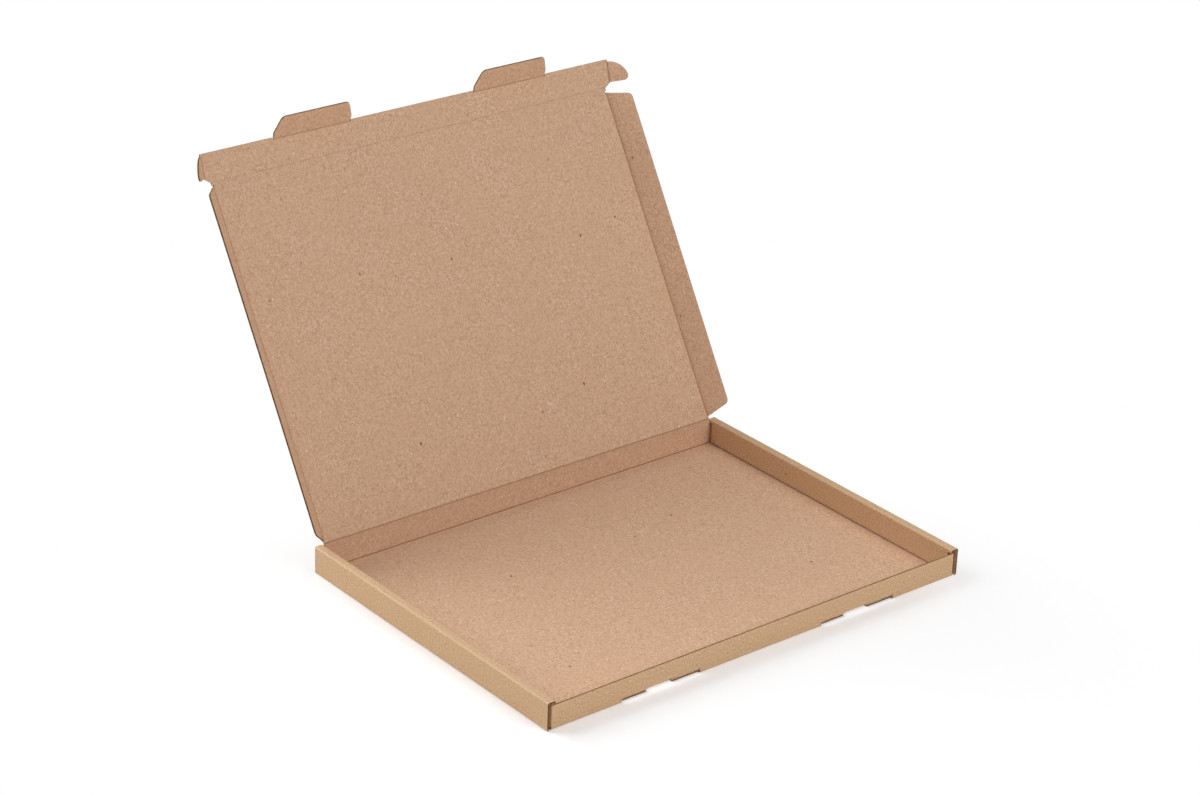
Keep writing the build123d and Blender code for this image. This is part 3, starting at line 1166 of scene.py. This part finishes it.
# %% Fluting for each body
def fluting(body, lines):
    """The fluting in all the cut edges of one body, as a plain mesh."""
    points, edges, places, throughs = [], [], [], []
    for line in lines:
        edges += [(len(points) + k, len(points) + k + 1) for k in range(len(line) - 1)]
        points += [point * MM for point, _, _ in line]
        throughs += [through for _, through, _ in line]
        places += [place * MM for _, _, place in line]
    mesh = bpy.data.meshes.new("cut_edges")
    mesh.from_pydata(points, edges, [])
    mesh.attributes.new("flute_place", "FLOAT", "POINT").data.foreach_set("value", places)
    flat = [value for through in throughs for value in through]
    mesh.attributes.new("through", "FLOAT_VECTOR", "POINT").data.foreach_set("vector", flat)
    source = bpy.data.objects.new("cut_edges", mesh)
    scene.collection.objects.link(source)
    modifier = source.modifiers.new("fluting", "NODES")
    modifier.node_group = wave_tree
    for name, value in wave_size.items():
        modifier[sockets[name]] = value if name == "Slack" else value * MM
    evaluated = source.evaluated_get(bpy.context.evaluated_depsgraph_get())
    made = bpy.data.objects.new(f"{body}_fluting", bpy.data.meshes.new_from_object(evaluated))
    bpy.data.objects.remove(source)
    scene.collection.objects.link(made)
    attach(made, body)
    print(f"{made.name}: {len(made.data.polygons)} faces")


for body, lines in fluting_lines.items():
    if lines:
        fluting(body, lines)

# %% [markdown]
# ## Floor, light and camera
# The box stands on a sweep of white paper. A large lamp behind it on the left and one in front of it
# give soft light with a direction, and a weak sky fills in from above. The white floor lights the outer
# walls from below, while the brown board lights the inside, which is why the inner walls look darker
# and warmer. Only to the camera, the paper is a little lighter than the lamps make it, and away from
# the box it fades to plain white, so that the shadow stays and the floor has no edge.

# %% White paper sweep
white = linear("#FFFFFF")
floor_lift = 0.15
# In metres
fade_centre = (-0.1, -0.16, 0)
fade_start, fade_end = 0.2, 0.36


def seen_directly(tree):
    """1 for what the camera sees, straight or in a reflection, and 0 for light on the box."""
    path = add(tree, "ShaderNodeLightPath").outputs
    mirrored = add(
        tree, "ShaderNodeMath", {"operation": "MAXIMUM"},
        in_0=path["Is Glossy Ray"], in_1=path["Is Transmission Ray"],
    )
    seen = add(
        tree, "ShaderNodeMath", {"operation": "MAXIMUM"},
        in_0=path["Is Camera Ray"], in_1=mirrored.outputs[0],
    )
    return seen.outputs[0]


def paper_sweep():
    """Matt white paper, which gives an even floor with a soft shadow."""
    material, tree = new_material("white_paper_sweep")
    seen = seen_directly(tree)
    lift = add(tree, "ShaderNodeMath", MULTIPLY, in_0=seen, in_1=floor_lift)
    paper = add(tree, "ShaderNodeBsdfDiffuse", Color=linear("#F6F3EC"))
    glow = add(tree, "ShaderNodeEmission", Color=white, Strength=lift.outputs[0])
    lifted = add(tree, "ShaderNodeAddShader", in_0=paper.outputs[0], in_1=glow.outputs[0])
    spot = add(tree, "ShaderNodeTexCoord").outputs["Object"]
    distance = add(tree, "ShaderNodeVectorMath", {"operation": "DISTANCE"}, in_0=spot, in_1=fade_centre)
    fade = add(
        tree, "ShaderNodeMapRange", {"interpolation_type": "SMOOTHSTEP"},
        in_0=distance.outputs["Value"], in_1=fade_start, in_2=fade_end,
    )
    faded = add(tree, "ShaderNodeMath", MULTIPLY, in_0=fade.outputs[0], in_1=seen)
    beyond = add(tree, "ShaderNodeEmission", Color=white, Strength=1.0)
    ground = add(
        tree, "ShaderNodeMixShader", in_0=faded.outputs[0], in_1=lifted.outputs[0], in_2=beyond.outputs[0]
    )
    add(tree, "ShaderNodeOutputMaterial", Surface=ground.outputs[0])
    return material


sweep = paper_sweep()
print("material", sweep.name)

# %% Floor
# The size is in metres, and the drop below the box in millimetres
floor_size = 8.0
floor_drop = 0.2
corner = floor_size / 2
floor_points = [(*point, -floor_drop * MM) for point in rectangle(-corner, -corner, corner, corner)]
floor_mesh = bpy.data.meshes.new("floor")
floor_mesh.from_pydata(floor_points, [], [(0, 1, 2, 3)])
floor_mesh.materials.append(sweep)
floor = bpy.data.objects.new("floor", floor_mesh)
scene.collection.objects.link(floor)
print("floor", floor_size, "m square")

# %% Sky
cool_white = linear("#F4F7FF")
sky_low, sky_high = 0.06, 0.32


def light_tent():
    """A weak sky, brightest overhead, that the camera sees as plain white."""
    world = bpy.data.worlds.new("light_tent")
    world.use_nodes = True
    tree = world.node_tree
    tree.nodes.clear()
    height = add(tree, "ShaderNodeSeparateXYZ", in_0=add(tree, "ShaderNodeTexCoord").outputs["Generated"])
    rise = add(
        tree, "ShaderNodeMapRange", {"interpolation_type": "SMOOTHSTEP"},
        in_0=height.outputs[2], in_3=sky_low, in_4=sky_high,
    )
    sky = add(tree, "ShaderNodeBackground", Color=cool_white, Strength=rise.outputs[0])
    backdrop = add(tree, "ShaderNodeBackground", Color=white, Strength=1.0)
    tent = add(
        tree, "ShaderNodeMixShader",
        in_0=seen_directly(tree), in_1=sky.outputs[0], in_2=backdrop.outputs[0],
    )
    add(tree, "ShaderNodeOutputWorld", Surface=tent.outputs[0])
    return world


scene.world = light_tent()
print("sky", sky_low, "to", sky_high)

# %% Lamps
lamp_target = Vector((0, 0, 0.1))


def soft_lamp(name, place, size, power):
    """A square lamp that faces the box, in metres and watts."""
    data = bpy.data.lights.new(name, "AREA")
    data.size = size
    data.energy = power
    data.color = cool_white[:3]
    lamp = bpy.data.objects.new(name, data)
    lamp.location = place
    lamp.rotation_euler = (lamp_target - lamp.location).to_track_quat("-Z", "Y").to_euler()
    scene.collection.objects.link(lamp)
    print(name, power, "W")


soft_lamp("key_lamp", place=(-1.4, 1.65, 1.45), size=2.0, power=58.0)
soft_lamp("fill_lamp", place=(0.3, -1.75, 1.72), size=1.4, power=36.0)

# %% Camera
camera_place = Vector((-1236.732, -1436.034, 1015.878)) * MM
camera_target = Vector((24.051, 75.041, 95.0)) * MM
camera_roll = 2.147
camera_lens, sensor_width = 96.255, 36.0
camera_data = bpy.data.cameras.new("camera")
camera_data.sensor_width = sensor_width
camera_data.lens = camera_lens
camera = bpy.data.objects.new("camera", camera_data)
facing = (camera_target - camera_place).to_track_quat("-Z", "Y").to_matrix()
turned = facing @ Matrix.Rotation(math.radians(camera_roll), 3, "Z")
camera.matrix_world = Matrix.Translation(camera_place) @ turned.to_4x4()
scene.collection.objects.link(camera)
scene.camera = camera
print("camera", camera_lens, "mm")
